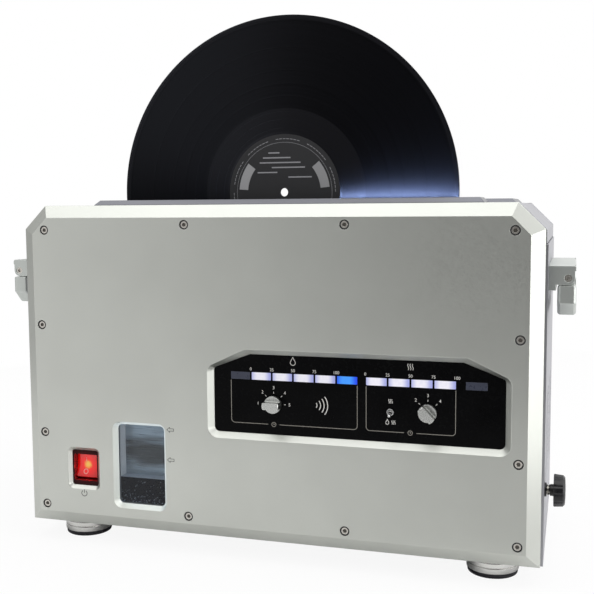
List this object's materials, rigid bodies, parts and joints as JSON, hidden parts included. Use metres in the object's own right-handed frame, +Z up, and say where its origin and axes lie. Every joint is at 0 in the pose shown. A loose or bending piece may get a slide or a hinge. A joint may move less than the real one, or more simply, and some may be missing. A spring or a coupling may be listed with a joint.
{
  "type": "record cleaning machine",
  "caption": "Upright metal-cased machine that washes a record standing on edge in a top slot and dries it with air, with dials, progress lights, level window and folding handles.",
  "frame": {"origin": "on the floor under the middle of the whole machine's bounding box", "axes": "+Z up, +X to the right of the control side along the machine's longest side, +Y from the control side to the back"},
  "size_m": [0.4886, 0.2232, 0.4595],
  "materials": {
    "panel_aluminium": "fine bead-blasted, satin",
    "case_aluminium": "satin anodised",
    "surround_aluminium": "satin anodised, a little darker",
    "chassis_steel": "plain zinc-plated steel",
    "screw_steel": "machined steel",
    "foot_metal": "turned and brushed",
    "foot_rubber": "matt black",
    "liner_black": "matt black",
    "fascia_black": "satin black",
    "light_white": "lit translucent lens",
    "light_blue": "lit translucent lens",
    "light_idle": "unlit translucent lens",
    "board_green": "printed circuit board and its parts",
    "knob_metal": "bright satin",
    "toggle_metal": "bright",
    "switch_black": "satin black",
    "rocker_red": "lit translucent red",
    "pane_clear": "clear",
    "tank_steel": "brushed",
    "water": "still water",
    "pump_black": "moulded, matt",
    "pipe_grey": "smooth",
    "valve_dark": "satin black",
    "valve_brass": "turned",
    "transducer_metal": "machined",
    "roller_rubber": "smooth",
    "shaft_steel": "ground",
    "box_steel": "plated sheet",
    "duct_black": "matt",
    "fan_black": "satin moulded",
    "guard_chrome": "plated",
    "inlet_black": "moulded",
    "handle_metal": "satin",
    "record_vinyl": "glossy with fine grooves",
    "label_paper": "printed paper, mostly black"
  },
  "bodies": {
    "casing": {"front_panel": "panel_aluminium", "rear_panel": "case_aluminium", "top_cover": "case_aluminium", "left_side_cover": "case_aluminium", "right_side_cover": "case_aluminium", "exhaust_cover": "case_aluminium", "slot_surround": "surround_aluminium", "chassis_rails": "chassis_steel", "base_plate": "chassis_steel", "front_panel_screws": "screw_steel", "rear_screws": "screw_steel", "handle_pins": "screw_steel", "feet": "foot_metal", "foot_pads": "foot_rubber", "slot_liner": "liner_black", "control_fascia": "fascia_black", "progress_lights": "light_white", "draining_light": "light_blue", "idle_lights": "light_idle", "control_board": "board_green", "ultrasonic_driver": "board_green", "toggle_bushing": "toggle_metal", "power_switch_case": "switch_black", "level_window": "pane_clear", "gauge_housing": "tank_steel", "reservoir": "tank_steel", "wash_chamber": "tank_steel", "air_nozzles": "tank_steel", "reservoir_water": "water", "pump": "pump_black", "return_valve": "pump_black", "water_pipes": "pipe_grey", "drain_valve_body": "valve_dark", "ultrasonic_transducers": "transducer_metal", "roller_pins": "shaft_steel", "drive_motor": "box_steel", "power_supply": "box_steel", "air_manifold": "duct_black", "air_ducts": "duct_black", "fan_frames": "fan_black", "fan_guards": "guard_chrome", "mains_inlet": "inlet_black", "handle_housings": "handle_metal"},
    "washing_knob": {"washing_knob": "knob_metal"},
    "drying_knob": {"drying_knob": "knob_metal"},
    "toggle_lever": {"toggle_lever": "toggle_metal"},
    "power_rocker": {"power_rocker": "rocker_red"},
    "drain_knob": {"drain_valve_stem": "valve_brass", "drain_valve_knob": "valve_dark"},
    "record": {"record": "record_vinyl", "record_labels": "label_paper"},
    "drive_roller": {"drive_roller": "roller_rubber", "drive_shaft": "shaft_steel"},
    "idler_roller": {"idler_roller": "roller_rubber"},
    "left_guide_roller": {"left_guide_roller": "roller_rubber"},
    "right_guide_roller": {"right_guide_roller": "roller_rubber"},
    "left_fan": {"left_fan_rotor": "fan_black"},
    "right_fan": {"right_fan_rotor": "fan_black"},
    "left_handle": {"left_handle_bail": "handle_metal"},
    "right_handle": {"right_handle_bail": "handle_metal"}
  },
  "joints": [
    {"name": "record_spin", "type": "hinge", "parent": "casing", "child": "record", "pos_m": [0, -0.0425, 0.3088], "axis": [0, 1, 0], "continuous": true},
    {"name": "drive_roller_spin", "type": "hinge", "parent": "casing", "child": "drive_roller", "pos_m": [0.10288, -0.0425, 0.18619], "axis": [0, 1, 0], "continuous": true},
    {"name": "idler_roller_spin", "type": "hinge", "parent": "casing", "child": "idler_roller", "pos_m": [-0.10288, -0.0425, 0.18619], "axis": [0, 1, 0], "continuous": true},
    {"name": "left_guide_spin", "type": "hinge", "parent": "casing", "child": "left_guide_roller", "pos_m": [-0.15222, -0.0425, 0.25934], "axis": [0, 1, 0], "continuous": true},
    {"name": "right_guide_spin", "type": "hinge", "parent": "casing", "child": "right_guide_roller", "pos_m": [0.15222, -0.0425, 0.25934], "axis": [0, 1, 0], "continuous": true},
    {"name": "left_fan_spin", "type": "hinge", "parent": "casing", "child": "left_fan", "pos_m": [-0.105, 0.0842, 0.212], "axis": [0, 1, 0], "continuous": true},
    {"name": "right_fan_spin", "type": "hinge", "parent": "casing", "child": "right_fan", "pos_m": [0.105, 0.0842, 0.212], "axis": [0, 1, 0], "continuous": true},
    {"name": "washing_knob_turn", "type": "hinge", "parent": "casing", "child": "washing_knob", "pos_m": [0.00712, -0.1058, 0.134], "axis": [0, 1, 0], "range_deg": [0, 180]},
    {"name": "drying_knob_turn", "type": "hinge", "parent": "casing", "child": "drying_knob", "pos_m": [0.13438, -0.1058, 0.134], "axis": [0, 1, 0], "range_deg": [0, 90]},
    {"name": "toggle_flip", "type": "hinge", "parent": "casing", "child": "toggle_lever", "pos_m": [0.10468, -0.1002, 0.1331], "axis": [-1, 0, 0], "range_deg": [0, 30]},
    {"name": "power_rocker_tilt", "type": "hinge", "parent": "casing", "child": "power_rocker", "pos_m": [-0.167, -0.0928, 0.06825], "axis": [1, 0, 0], "range_deg": [0, 18]},
    {"name": "drain_knob_turn", "type": "hinge", "parent": "casing", "child": "drain_knob", "pos_m": [0.23, -0.0878, 0.076], "axis": [1, 0, 0], "range_deg": [0, 360]},
    {"name": "left_handle_swing", "type": "hinge", "parent": "casing", "child": "left_handle", "pos_m": [-0.2382, -0.0268, 0.2405], "axis": [0, 1, 0], "range_deg": [0, 90]},
    {"name": "right_handle_swing", "type": "hinge", "parent": "casing", "child": "right_handle", "pos_m": [0.2382, -0.0268, 0.2405], "axis": [0, -1, 0], "range_deg": [0, 90]}
  ],
  "couplings": [
    {"joint": "drive_roller_spin", "follows": "record_spin", "ratio": -16.75},
    {"joint": "idler_roller_spin", "follows": "record_spin", "ratio": -16.75},
    {"joint": "left_guide_spin", "follows": "record_spin", "ratio": -16.75},
    {"joint": "right_guide_spin", "follows": "record_spin", "ratio": -16.75}
  ]
}
